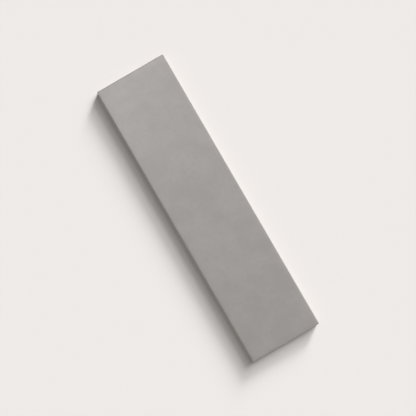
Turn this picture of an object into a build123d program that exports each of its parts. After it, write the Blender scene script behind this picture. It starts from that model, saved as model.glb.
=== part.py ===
from build123d import *
import os

# Overall sizes of the tile, in millimetres
LENGTH = 298.0  # along X, for a 300 module laid with a 2 mm joint
WIDTH = 73.0  # across Y, for a 75 module laid with a 2 mm joint
THICKNESS = 8.0  # bedding plane to glazed face
EDGE_ROUND = 1.2  # eased edges of the glazed face and the four upright corners
BACK_BEVEL = 0.6  # bevel round the bedding plane

# Keying grid pressed into the back
RIM_WIDTH = 10.0  # plain border round the grid
RIB_WIDTH = 4.0  # between neighbouring cells, at the bedding plane
CELL_SIZE = 15.0  # side aimed at: whole cells are spread evenly inside the rim
CELL_DEPTH = 0.8
CELL_CORNER = 2.0  # plan radius of a cell's corners, at the bedding plane
CELL_DRAFT = 20.0  # lean of a cell's walls, in degrees from upright


def cell_row(extent):
    """Count and spacing of the cells that fit between the rims of one direction."""
    span = extent - 2 * RIM_WIDTH + RIB_WIDTH
    count = max(1, round(span / (CELL_SIZE + RIB_WIDTH)))
    return count, span / count


def plain_slab():
    """Slab standing on its bedding plane, eased round the face and bevelled round the back."""
    slab = Box(LENGTH, WIDTH, THICKNESS, align=(Align.CENTER, Align.CENTER, Align.MIN))
    upright_corners = slab.edges().filter_by(Axis.Z)
    face_edges = slab.edges().group_by(Axis.Z)[-1]
    slab = fillet(upright_corners + face_edges, EDGE_ROUND)
    back_edges = slab.edges().group_by(Axis.Z)[0]
    return chamfer(back_edges, BACK_BEVEL)


def keying_cell(size_x, size_y):
    """One recess with drafted walls, narrowing from its mouth in the bedding plane."""
    mouth = RectangleRounded(size_x, size_y, CELL_CORNER)
    return extrude(mouth, amount=CELL_DEPTH, taper=CELL_DRAFT)


count_x, pitch_x = cell_row(LENGTH)
count_y, pitch_y = cell_row(WIDTH)
cell = keying_cell(pitch_x - RIB_WIDTH, pitch_y - RIB_WIDTH)
grid = [place * cell for place in GridLocations(pitch_x, pitch_y, count_x, count_y)]
ceramic_tile = plain_slab() - grid

os.makedirs("parts", exist_ok=True)
export_step(ceramic_tile, "parts/ceramic_tile.step")
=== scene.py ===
"""Looks of a long glazed ceramic tile: its fine mesh, its glaze and bare body, and a plain studio."""
import math

import bpy
import numpy as np
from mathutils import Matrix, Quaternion, Vector, noise


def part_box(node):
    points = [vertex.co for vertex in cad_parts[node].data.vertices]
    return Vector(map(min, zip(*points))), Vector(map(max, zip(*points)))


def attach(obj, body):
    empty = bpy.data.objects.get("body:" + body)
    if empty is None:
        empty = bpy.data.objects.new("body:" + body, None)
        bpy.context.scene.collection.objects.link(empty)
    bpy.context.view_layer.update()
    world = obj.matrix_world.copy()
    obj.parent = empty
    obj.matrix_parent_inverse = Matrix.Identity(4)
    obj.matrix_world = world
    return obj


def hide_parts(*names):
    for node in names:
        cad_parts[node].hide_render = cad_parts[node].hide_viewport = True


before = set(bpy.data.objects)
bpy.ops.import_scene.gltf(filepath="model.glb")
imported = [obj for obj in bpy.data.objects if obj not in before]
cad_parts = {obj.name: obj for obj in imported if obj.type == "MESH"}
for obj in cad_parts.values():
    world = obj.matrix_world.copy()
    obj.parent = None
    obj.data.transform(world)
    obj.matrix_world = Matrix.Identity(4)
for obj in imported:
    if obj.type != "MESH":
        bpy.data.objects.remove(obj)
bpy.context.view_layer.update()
NODE = "ceramic_tile"
MM = 0.001

# The tile's own sizes, in metres
HALF_LENGTH, HALF_WIDTH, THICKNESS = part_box(NODE)[1]
EDGE_ROUND = 1.2 * MM
BACK_BEVEL = 0.6 * MM
RIM_WIDTH = 10.0 * MM
RIB_WIDTH = 4.0 * MM
CELLS_X, CELLS_Y = 15, 3
CELL_DEPTH = 0.8 * MM
CELL_CORNER = 2.0 * MM
CELL_DRAFT = math.radians(20)
PITCH_X = (2 * (HALF_LENGTH - RIM_WIDTH) + RIB_WIDTH) / CELLS_X
PITCH_Y = (2 * (HALF_WIDTH - RIM_WIDTH) + RIB_WIDTH) / CELLS_Y

# Relief of the fired surface
FACE_WAVE = 0.05 * MM  # deepest hollow of the glaze's slow waves
ROLL_OFF = 0.07 * MM  # how far the face falls towards its edges, before the ease
ROLL_WIDTH = 6 * MM
EDGE_WANDER = 0.08 * MM  # the outline is never quite straight
EASE_CHANGE = 0.18  # how much fuller or leaner the eased edge becomes
GLAZE_LAP = 2.4 * MM  # how far the glaze comes down the sides
GLAZE_LAP_WAVE = 0.7 * MM
GLAZE_COAT = 0.16 * MM  # the bare side lies this far behind the glaze
LIP_INSET = 0.35 * GLAZE_COAT  # rounding of the glaze's lower lip
LIP_RISE = 0.2 * GLAZE_COAT
RIB_EASE = 0.15 * MM  # rounding of the keying cells' rims and floors

# Patterns of waves: their size, and the level at which they are cut from solid noise
FACE_PATTERN = (34 * MM, 3.7)
OUTLINE_PATTERN = (24 * MM, 8.1)
EASE_PATTERN = (24 * MM, 5.3)
LAP_PATTERN = (13 * MM, 1.9)

# Thinness of the glaze: 0 on the face, 1 halfway round the ease, and these lower down
THIN_GLAZE = "thin_glaze"
SIDE_THINNESS = 0.3  # at the foot of the glazed side
LIP_THINNESS = 0.6

# Divisions of the mesh
CELL_SEGMENTS = 12  # along one side of a keying cell
CORNER_SEGMENTS = 6  # round a quarter turn
RIM_SEGMENTS = 4
EASE_SEGMENTS = 7
WALL_SEGMENTS = 6
SIDE_SHARES = (0.35, 0.7, 1.0)  # of the way down the glazed side
SHARP_ANGLE = math.radians(42)

# Texture layout in a unit square: the axes along and up, the lower left corner and the size of each part
LAYOUT_NAME = "OFBake"  # name of the texture layout
SIDE_REACH = 0.7 * MM  # a side's part begins this far in from the outline
X, Y, Z = range(3)
LAYOUT = {
    "face": ((X, Y), (0.005, 0.005), (0.99, 0.385)),
    "back": ((X, Y), (0.005, 0.400), (0.99, 0.385)),
    "left_side": ((X, Z), (0.005, 0.795), (0.99, 0.06)),
    "right_side": ((X, Z), (0.005, 0.865), (0.99, 0.06)),
    "top_end": ((Y, Z), (0.005, 0.935), (0.49, 0.06)),
    "bottom_end": ((Y, Z), (0.505, 0.935), (0.49, 0.06)),
}

# Finish of the glaze and of the bare body
GLAZE_WARM = ((0.292, 0.273, 0.258, 1), (0.324, 0.304, 0.287, 1))
GLAZE_COOL = ((0.289, 0.273, 0.261, 1), (0.319, 0.303, 0.291, 1))
GLAZE_MOTTLE = (0.262, 0.247, 0.236, 1)
GLAZE_MOTTLE_SHARE = 0.3
GLAZE_THINNED = (0.365, 0.346, 0.327, 1)
GLAZE_THINNED_SHARE = 0.35
GLAZE_ROUGHNESS = (0.29, 0.33)
GLAZE_SPECULAR = 0.5815  # as of a refractive index of 1.55
GLAZE_RELIEF = 0.014 * MM
BODY_TONES = ((0.335, 0.308, 0.272, 1), (0.385, 0.357, 0.320, 1))
BODY_GRIT = (0.255, 0.228, 0.198, 1)
BODY_GRIT_SHARE = 0.5
BODY_ROUGHNESS = 0.9
BODY_SPECULAR = 0.25
BODY_RELIEF = 0.05 * MM
DUST = (0.520, 0.500, 0.470, 1)
DUST_SHARES = (0.25, 0.7)  # where it is worn away and where it is whole
DUST_FADE = (0.05 * MM, 0.3 * MM)  # heights above the bedding plane
NOISE_RANGE = (0.3, 0.7)  # where most of a noise lies

# The view: straight down, the length running down to the right
TILE_TURN = math.radians(59.85)
IMAGE_PIXELS = 416
TILE_PIXELS = 312
LENS_MM = 100
SENSOR_MM = 36

# Light, in shares of the level at which a colour renders as written
DOME_SHARE = 0.215
# Broad lamps: share, direction right and up in the picture, elevation and spread
TILE_KEY = (0.55, (0.74, 0.67), math.radians(40), math.radians(100))
# From a low lamp to a high one, for a shadow that fades evenly
FLOOR_KEYS = (
    (0.31, (0.41, 0.91), math.radians(14.6), math.radians(13.7)),
    (0.37, (0.60, 0.80), math.radians(26.7), math.radians(31.9)),
    (0.11, (0.60, 0.80), math.radians(55.7), math.radians(28.4)),
)
PANEL_SHARE = 0.14
PANEL_PLACE = Vector((-0.57, 0, 2.0))  # overhead, beyond the tile's upper end
PANEL_SIZE = (1.2, 0.2)  # across the tile and along it, before its turn
PANEL_TURN = math.radians(40)  # its reflection reaches further down the tile's left edge
WHITE = (1, 1, 1, 1)
FLOOR_COLOUR = (0.855, 0.823, 0.799, 1)
FLOOR_HALF = 4.0
FLOOR_DROP = 0.02 * MM  # keeps the floor clear of the bedding plane


def smooth_step(t):
    """0 to 1 with level ends."""
    t = np.clip(t, 0, 1)
    return t * t * (3 - 2 * t)


def waves(x, y, size, level):
    """Smooth waves from about -1 to 1 over the tile's plan."""
    return noise.noise(Vector((x / size, y / size, level)))


def hollows(x, y, size, level):
    """The same waves from 0 to 1."""
    return 0.5 + 0.5 * waves(x, y, size, level)


class Shell:
    """Corners, faces and finish of the tile's mesh, gathered while it is built."""

    GLAZE, BISCUIT = 0, 1

    def __init__(self):
        self.points = []
        self.thin_glaze = []
        self.faces = []
        self.finishes = []

    def point(self, x, y, z, thin=0.0):
        """Adds a point and returns its number."""
        self.points.append((x, y, z))
        self.thin_glaze.append(thin)
        return len(self.points) - 1

    def face(self, corners, finish):
        """Adds a face, less any corner that repeats the one before it."""
        unlike = [c for c, before in zip(corners, corners[-1:] + corners[:-1]) if c != before]
        if len(unlike) > 2:
            self.faces.append(unlike)
            self.finishes.append(finish)

    def band(self, first, second, finish):
        """Faces between two closed loops of as many points."""
        for k in range(len(first)):
            n = (k + 1) % len(first)
            self.face([first[k], first[n], second[n], second[k]], finish)

    def to_object(self, name, materials):
        """The finished mesh as an object in the scene."""
        mesh = bpy.data.meshes.new(name)
        mesh.from_pydata(self.points, [], self.faces)
        for material in materials:
            mesh.materials.append(material)
        mesh.polygons.foreach_set("material_index", self.finishes)
        mesh.polygons.foreach_set("use_smooth", [True] * len(self.faces))
        thin = mesh.attributes.new(THIN_GLAZE, "FLOAT", "POINT")
        thin.data.foreach_set("value", self.thin_glaze)
        mesh.set_sharp_from_angle(angle=SHARP_ANGLE)
        mesh.validate()
        tile = bpy.data.objects.new(name, mesh)
        bpy.context.scene.collection.objects.link(tile)
        return tile


def stations(half, cells, pitch):
    """Places of the mesh lines along one direction: even over the cells, then over the rim to the ease."""
    grid_half = cells * pitch / 2
    over_cells = np.linspace(-grid_half, grid_half, cells * CELL_SEGMENTS + 1)
    over_rim = np.linspace(grid_half, half - EDGE_ROUND, RIM_SEGMENTS + 1)[1:]
    return np.concatenate([-over_rim[::-1], over_cells, over_rim])


def perimeter(last_i, last_j):
    """Mesh-line crossing and outward angle, in degrees, of each station round the tile, in order."""
    sides = [
        ([(i, 0) for i in range(last_i + 1)], -90),
        ([(last_i, j) for j in range(last_j + 1)], 0),
        ([(i, last_j) for i in range(last_i, -1, -1)], 90),
        ([(0, j) for j in range(last_j, -1, -1)], 180),
    ]
    walk = []
    for places, facing in sides:
        walk += [(place, facing) for place in places]
        turn = [facing + 90 * k / CORNER_SEGMENTS for k in range(1, CORNER_SEGMENTS)]
        walk += [(places[-1], angle) for angle in turn]
    return walk


def face_drop(x, y):
    """How far the glazed face lies below its highest plane."""
    slow = FACE_WAVE * hollows(x, y, *FACE_PATTERN)
    from_edges = (HALF_LENGTH - EDGE_ROUND - abs(x), HALF_WIDTH - EDGE_ROUND - abs(y))
    return slow + sum(ROLL_OFF * (1 - smooth_step(d / ROLL_WIDTH)) for d in from_edges)


def eased_edge(x, y, wander):
    """Steps round the edge between the face and the side."""
    fullness = 1 + EASE_CHANGE * waves(x, y, *EASE_PATTERN)
    drop = face_drop(x, y)
    steps = []
    for k in range(1, EASE_SEGMENTS + 1):
        angle = math.radians(90 * k / EASE_SEGMENTS)
        out, up = math.sin(angle), math.cos(angle)
        inset = EDGE_ROUND * (1 - out) + wander * out
        z = THICKNESS - EDGE_ROUND * (1 - up) ** fullness - drop * up
        steps.append((inset, z, math.sin(2 * angle), Shell.GLAZE))
    return steps


def glazed_side(lap, wander):
    """Steps down the glaze to its lip over the bare body."""
    steps = []
    for share in SIDE_SHARES:
        z = (THICKNESS - EDGE_ROUND) * (1 - share) + (lap + GLAZE_COAT) * share
        steps.append((wander, z, SIDE_THINNESS * share, Shell.GLAZE))
    steps.append((wander + LIP_INSET, lap + LIP_RISE, LIP_THINNESS, Shell.GLAZE))
    steps.append((wander + GLAZE_COAT, lap, LIP_THINNESS, Shell.GLAZE))
    return steps


def bare_side(lap, wander):
    """Steps down the bare body and its bevel to the bedding plane."""
    bare = wander + GLAZE_COAT
    places = [(bare, (lap + BACK_BEVEL) / 2), (bare, BACK_BEVEL), (bare + BACK_BEVEL, 0.0)]
    return [(inset, z, 0.0, Shell.BISCUIT) for inset, z in places]


def section(x, y):
    """Inset, height, thinness of glaze and finish down the side at one station, from face to back."""
    wander = EDGE_WANDER * hollows(x, y, *OUTLINE_PATTERN)
    lap = THICKNESS - GLAZE_LAP - GLAZE_LAP_WAVE * waves(x, y, *LAP_PATTERN)
    return eased_edge(x, y, wander) + glazed_side(lap, wander) + bare_side(lap, wander)


def add_glazed_face(shell, xs, ys):
    """The face's grid. Returns its points by mesh-line crossing."""
    grid = {
        (i, j): shell.point(x, y, THICKNESS - face_drop(x, y))
        for i, x in enumerate(xs)
        for j, y in enumerate(ys)
    }
    for i in range(len(xs) - 1):
        for j in range(len(ys) - 1):
            corners = [grid[i, j], grid[i + 1, j], grid[i + 1, j + 1], grid[i, j + 1]]
            shell.face(corners, Shell.GLAZE)
    return grid


def add_sides(shell, xs, ys, face_grid):
    """Eased edges, glazed and bare sides and back bevel. Returns the loop of points at the bedding plane."""
    walk = perimeter(len(xs) - 1, len(ys) - 1)
    loop = [face_grid[place] for place, _ in walk]
    columns = []
    for (i, j), facing in walk:
        across, along = math.cos(math.radians(facing)), math.sin(math.radians(facing))
        steps = section(xs[i] + EDGE_ROUND * across, ys[j] + EDGE_ROUND * along)
        columns.append((xs[i], ys[j], across, along, steps))
    for level in range(len(columns[0][-1])):
        below = []
        for x, y, across, along, steps in columns:
            inset, z, thin, finish = steps[level]
            out = EDGE_ROUND - inset
            below.append(shell.point(x + out * across, y + out * along, z, thin))
        shell.band(below, loop, finish)
        loop = below
    return loop


def rounded_loop(centre_x, centre_y, half_x, half_y, corner):
    """A rounded rectangle's points, counter-clockwise, as many as the mesh lines round one cell."""
    half_turn = CORNER_SEGMENTS // 2
    straight = CELL_SEGMENTS - CORNER_SEGMENTS
    points = []
    for facing in (-90, 0, 90, 180):
        turn = math.radians(facing)
        reach, width = (half_y, half_x) if facing % 180 else (half_x, half_y)
        for k in range(CELL_SEGMENTS):
            on_straight = min(max(k - half_turn, 0), straight)
            round_corner = k - half_turn - on_straight
            lean = math.radians(90 * round_corner / CORNER_SEGMENTS)
            along = (width - corner) * (2 * on_straight / straight - 1) + corner * math.sin(lean)
            out = reach - corner + corner * math.cos(lean)
            x = out * math.cos(turn) - along * math.sin(turn)
            y = out * math.sin(turn) + along * math.cos(turn)
            points.append((centre_x + x, centre_y + y))
    return points


def add_keying_cell(shell, border, centre_x, centre_y):
    """One recess inside its closed border of points in the bedding plane."""
    run = CELL_DEPTH * math.tan(CELL_DRAFT) + 2 * RIB_EASE
    half_x = (PITCH_X - RIB_WIDTH) / 2 + RIB_EASE
    half_y = (PITCH_Y - RIB_WIDTH) / 2 + RIB_EASE
    loop = border
    for k in range(WALL_SEGMENTS + 1):
        t = k / WALL_SEGMENTS
        inset = run * t
        depth = CELL_DEPTH * smooth_step(t)
        places = rounded_loop(centre_x, centre_y, half_x - inset, half_y - inset, CELL_CORNER - inset)
        ring = [shell.point(x, y, depth) for x, y in places]
        shell.band(ring, loop, Shell.BISCUIT)
        loop = ring
    middle = shell.point(centre_x, centre_y, CELL_DEPTH)
    for k in range(len(loop)):
        shell.face([loop[(k + 1) % len(loop)], loop[k], middle], Shell.BISCUIT)


def add_keyed_back(shell, xs, ys, outer_loop):
    """Rim and keying cells of the back, joined to the loop of points round the bedding plane."""
    last_i, last_j = len(xs) - 1, len(ys) - 1
    n = CELL_SEGMENTS
    grid = {}

    def crossing(i, j):
        if (i, j) not in grid:
            grid[i, j] = shell.point(xs[i], ys[j], 0.0)
        return grid[i, j]

    def in_cells(i, j):
        return RIM_SEGMENTS <= i < last_i - RIM_SEGMENTS and RIM_SEGMENTS <= j < last_j - RIM_SEGMENTS

    shell.band([crossing(*place) for place, _ in perimeter(last_i, last_j)], outer_loop, Shell.BISCUIT)
    for i in range(last_i):
        for j in range(last_j):
            if not in_cells(i, j):
                corners = [crossing(i, j), crossing(i, j + 1), crossing(i + 1, j + 1), crossing(i + 1, j)]
                shell.face(corners, Shell.BISCUIT)
    for column in range(CELLS_X):
        for row in range(CELLS_Y):
            i, j = RIM_SEGMENTS + column * n, RIM_SEGMENTS + row * n
            border = [crossing(i + k, j) for k in range(n)]
            border += [crossing(i + n, j + k) for k in range(n)]
            border += [crossing(i + n - k, j + n) for k in range(n)]
            border += [crossing(i, j + n - k) for k in range(n)]
            add_keying_cell(shell, border, (xs[i] + xs[i + n]) / 2, (ys[j] + ys[j + n]) / 2)


def layout_part(centre):
    """The part of the texture layout to which a face of the mesh belongs."""
    from_end = HALF_LENGTH - abs(centre.x)
    from_side = HALF_WIDTH - abs(centre.y)
    if min(from_end, from_side) > SIDE_REACH:
        return "face" if centre.z > THICKNESS / 2 else "back"
    if from_side < from_end:
        return "left_side" if centre.y < 0 else "right_side"
    return "top_end" if centre.x < 0 else "bottom_end"


def lay_out(mesh):
    """Lays the face, the back and the four sides flat beside each other, for a texture."""
    low = (-HALF_LENGTH, -HALF_WIDTH, 0)
    high = (HALF_LENGTH, HALF_WIDTH, THICKNESS)
    layer = mesh.uv_layers.new(name=LAYOUT_NAME)
    for polygon in mesh.polygons:
        axes, start, size = LAYOUT[layout_part(polygon.center)]
        for corner in polygon.loop_indices:
            point = mesh.vertices[mesh.loops[corner].vertex_index].co
            shares = [(point[axis] - low[axis]) / (high[axis] - low[axis]) for axis in axes]
            layer.uv[corner].vector = [a + b * share for a, b, share in zip(start, size, shares)]


class Nodes:
    """The node tree of a material or a world, with short calls for the nodes used here."""

    def __init__(self, owner):
        owner.use_nodes = True
        self.tree = owner.node_tree

    def feed(self, node, inputs):
        """Links each input, by name or number, to an output, or gives it a value."""
        for socket, value in inputs.items():
            if isinstance(value, bpy.types.NodeSocket):
                self.tree.links.new(value, node.inputs[socket])
            else:
                node.inputs[socket].default_value = value

    def add(self, kind, inputs=None, **settings):
        """A new node with its settings and inputs."""
        node = self.tree.nodes.new(kind)
        for key, value in settings.items():
            setattr(node, key, value)
        self.feed(node, inputs or {})
        return node

    def math(self, operation, first, second):
        """One operation on two numbers."""
        return self.add("ShaderNodeMath", {0: first, 1: second}, operation=operation).outputs["Value"]

    def end_in(self, output, share, first, second):
        """Ends the tree in two shaders. The share, from 0 to 1, is the second one's."""
        mix = self.add("ShaderNodeMixShader", {"Fac": share, 1: first.outputs[0], 2: second.outputs[0]})
        self.feed(self.tree.nodes[output], {"Surface": mix.outputs["Shader"]})


class Finish(Nodes):
    """A material of the tile, patterned in the tile's own coordinates."""

    COLOUR_A, COLOUR_B, COLOUR_RESULT = 6, 7, 2  # colour sockets of a mix

    def __init__(self, name):
        self.material = bpy.data.materials.new(name)
        super().__init__(self.material)
        self.shader = self.tree.nodes["Principled BSDF"]
        self.where = self.add("ShaderNodeTexCoord").outputs["Object"]

    def noise(self, per_metre, detail, roughness=0.5):
        """Cloudy noise from 0 to 1, with about so many clouds to the metre."""
        inputs = {"Vector": self.where, "Scale": per_metre, "Detail": detail, "Roughness": roughness}
        return self.add("ShaderNodeTexNoise", inputs).outputs["Fac"]

    def remap(self, value, source, target=(0, 1)):
        """Takes one range of numbers smoothly to another."""
        ends = zip(("From Min", "From Max", "To Min", "To Max"), (*source, *target))
        inputs = {"Value": value, **dict(ends)}
        return self.add("ShaderNodeMapRange", inputs, interpolation_type="SMOOTHSTEP").outputs["Result"]

    def mix(self, share, first, second):
        """Two colours mixed. The share, from 0 to 1, is the second one's."""
        inputs = {"Factor": share, self.COLOUR_A: first, self.COLOUR_B: second}
        return self.add("ShaderNodeMix", inputs, data_type="RGBA").outputs[self.COLOUR_RESULT]

    def bump(self, height, depth):
        """Fine relief of a depth in metres."""
        return self.add("ShaderNodeBump", {"Height": height, "Distance": depth}).outputs["Normal"]


def glaze_material():
    """Satin warm-grey glaze: clouded tone, faint mottling, thinner and paler over the eased edges."""
    glaze = Finish("satin_grey_glaze")
    drift = glaze.remap(glaze.noise(per_metre=16, detail=2), NOISE_RANGE)
    cloud = glaze.remap(glaze.noise(per_metre=48, detail=4, roughness=0.55), NOISE_RANGE)
    colour = glaze.mix(drift, glaze.mix(cloud, *GLAZE_WARM), glaze.mix(cloud, *GLAZE_COOL))
    spots = glaze.noise(per_metre=260, detail=3)
    mottle = glaze.remap(spots, source=(0.45, 0.75), target=(0, GLAZE_MOTTLE_SHARE))
    colour = glaze.mix(mottle, colour, GLAZE_MOTTLE)
    thinness = glaze.add("ShaderNodeAttribute", attribute_name=THIN_GLAZE).outputs["Fac"]
    thin = glaze.remap(thinness, source=(0, 1), target=(0, GLAZE_THINNED_SHARE))
    colour = glaze.mix(thin, colour, GLAZE_THINNED)
    roughness = glaze.remap(glaze.noise(per_metre=90, detail=4), NOISE_RANGE, GLAZE_ROUGHNESS)
    relief = glaze.bump(glaze.noise(per_metre=380, detail=2), GLAZE_RELIEF)
    surface = {"Base Color": colour, "Roughness": roughness, "Normal": relief}
    glaze.feed(glaze.shader, {**surface, "Specular IOR Level": GLAZE_SPECULAR})
    return glaze.material


def biscuit_material():
    """Bare fired body: dry and finely grained, dusted pale where the back was set down."""
    body = Finish("fired_biscuit")
    cloud = body.remap(body.noise(per_metre=60, detail=5, roughness=0.6), NOISE_RANGE)
    specks = body.noise(per_metre=700, detail=3, roughness=0.6)
    grit = body.remap(specks, source=(0.55, 0.72), target=(0, BODY_GRIT_SHARE))
    colour = body.mix(grit, body.mix(cloud, *BODY_TONES), BODY_GRIT)
    height = body.add("ShaderNodeSeparateXYZ", {"Vector": body.where}).outputs["Z"]
    low = body.remap(height, DUST_FADE, target=(1, 0))
    patches = body.noise(per_metre=140, detail=5, roughness=0.65)
    worn = body.remap(patches, source=(0.35, 0.6), target=DUST_SHARES)
    colour = body.mix(body.math("MULTIPLY", low, worn), colour, DUST)
    relief = body.bump(body.noise(per_metre=900, detail=4, roughness=0.65), BODY_RELIEF)
    surface = {"Base Color": colour, "Roughness": BODY_ROUGHNESS, "Normal": relief}
    body.feed(body.shader, {**surface, "Specular IOR Level": BODY_SPECULAR})
    return body.material


def build_tile():
    """The whole tile as one mesh."""
    xs = stations(HALF_LENGTH, CELLS_X, PITCH_X)
    ys = stations(HALF_WIDTH, CELLS_Y, PITCH_Y)
    shell = Shell()
    face_grid = add_glazed_face(shell, xs, ys)
    outer_loop = add_sides(shell, xs, ys, face_grid)
    add_keyed_back(shell, xs, ys, outer_loop)
    tile = shell.to_object("glazed_tile", [glaze_material(), biscuit_material()])
    lay_out(tile.data)
    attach(tile, "root")
    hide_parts(NODE)
    return tile


def floor_material():
    """Pale paint on the upper side. From below the floor is clear."""
    material = bpy.data.materials.new("pale_floor")
    nodes = Nodes(material)
    paint = nodes.add("ShaderNodeBsdfDiffuse", {"Color": FLOOR_COLOUR})
    clear = nodes.add("ShaderNodeBsdfTransparent")
    underside = nodes.add("ShaderNodeNewGeometry").outputs["Backfacing"]
    nodes.end_in("Material Output", underside, paint, clear)
    return material


def add_floor():
    """Plain pale floor that only the camera sees. The world lights the tile from below in its place."""
    plan = [(-1, -1), (1, -1), (1, 1), (-1, 1)]
    corners = [(FLOOR_HALF * x, FLOOR_HALF * y, -FLOOR_DROP) for x, y in plan]
    mesh = bpy.data.meshes.new("floor")
    mesh.from_pydata(corners, [], [(0, 1, 2, 3)])
    mesh.materials.append(floor_material())
    floor = bpy.data.objects.new("floor", mesh)
    for rays in ("diffuse", "glossy", "transmission", "shadow"):
        setattr(floor, "visible_" + rays, False)
    bpy.context.scene.collection.objects.link(floor)
    return floor


def add_camera():
    """Looks straight down on the middle of the glazed face."""
    view_width = 2 * HALF_LENGTH * IMAGE_PIXELS / TILE_PIXELS
    data = bpy.data.cameras.new("camera")
    data.lens = LENS_MM
    data.sensor_width = SENSOR_MM
    camera = bpy.data.objects.new("camera", data)
    camera.location = (0, 0, THICKNESS + view_width * LENS_MM / SENSOR_MM)
    camera.rotation_euler = (0, 0, TILE_TURN)
    bpy.context.scene.collection.objects.link(camera)
    bpy.context.scene.camera = camera


def picture_direction(right, up):
    """World direction of a direction in the picture."""
    across = Vector((math.cos(TILE_TURN), math.sin(TILE_TURN), 0))
    upward = Vector((-math.sin(TILE_TURN), math.cos(TILE_TURN), 0))
    return (across * right + upward * up).normalized()


def light_only(lamp, lit):
    """Keeps a lamp to one object. The others still cast their shadows in it."""
    group = bpy.data.collections.new(lamp.name + "_lights")
    group.objects.link(lit)
    lamp.light_linking.receiver_collection = group


def add_key_light(name, lit, share, come_from, elevation, spread):
    """Broad light from the upper right of the picture, on one object."""
    data = bpy.data.lights.new(name, "SUN")
    data.energy = share * math.pi / math.sin(elevation)
    data.angle = spread
    key = bpy.data.objects.new(name, data)
    towards = picture_direction(*come_from) * math.cos(elevation)
    towards.z = math.sin(elevation)
    key.rotation_euler = towards.to_track_quat("Z", "Y").to_euler()
    bpy.context.scene.collection.objects.link(key)
    light_only(key, lit)


def add_panel_light(lit):
    """Overhead panel whose soft reflection brightens the tile's upper end."""
    data = bpy.data.lights.new("panel", "AREA")
    data.shape = "RECTANGLE"
    data.size, data.size_y = PANEL_SIZE
    lean = PANEL_PLACE.z / PANEL_PLACE.length
    data.energy = PANEL_SHARE * math.pi**2 * PANEL_PLACE.length_squared / lean
    panel = bpy.data.objects.new("panel", data)
    panel.location = PANEL_PLACE
    facing = PANEL_PLACE.to_track_quat("Z", "Y")
    panel.rotation_euler = (facing @ Quaternion((0, 0, 1), PANEL_TURN)).to_euler()
    panel.visible_camera = False
    bpy.context.scene.collection.objects.link(panel)
    light_only(panel, lit)


def add_world():
    """Even dome above. Below, and wherever the camera and reflections look, it has the floor's colour."""
    world = bpy.data.worlds.new("studio")
    bpy.context.scene.world = world
    nodes = Nodes(world)
    dome = nodes.tree.nodes["Background"]
    nodes.feed(dome, {"Color": WHITE, "Strength": DOME_SHARE})
    backdrop = nodes.add("ShaderNodeBackground", {"Color": FLOOR_COLOUR})
    direction = nodes.add("ShaderNodeTexCoord").outputs["Generated"]
    height = nodes.add("ShaderNodeSeparateXYZ", {"Vector": direction}).outputs["Z"]
    pale = nodes.math("LESS_THAN", height, 0)
    path = nodes.add("ShaderNodeLightPath")
    for ray in ("Is Camera Ray", "Is Glossy Ray", "Is Transmission Ray"):
        pale = nodes.math("MAXIMUM", pale, path.outputs[ray])
    nodes.end_in("World Output", pale, dome, backdrop)


tile = build_tile()
floor = add_floor()
add_camera()
add_key_light("tile_key", tile, *TILE_KEY)
for floor_key in FLOOR_KEYS:
    add_key_light("floor_key", floor, *floor_key)
add_panel_light(tile)
add_world()
bpy.context.scene.view_settings.view_transform = "Standard"
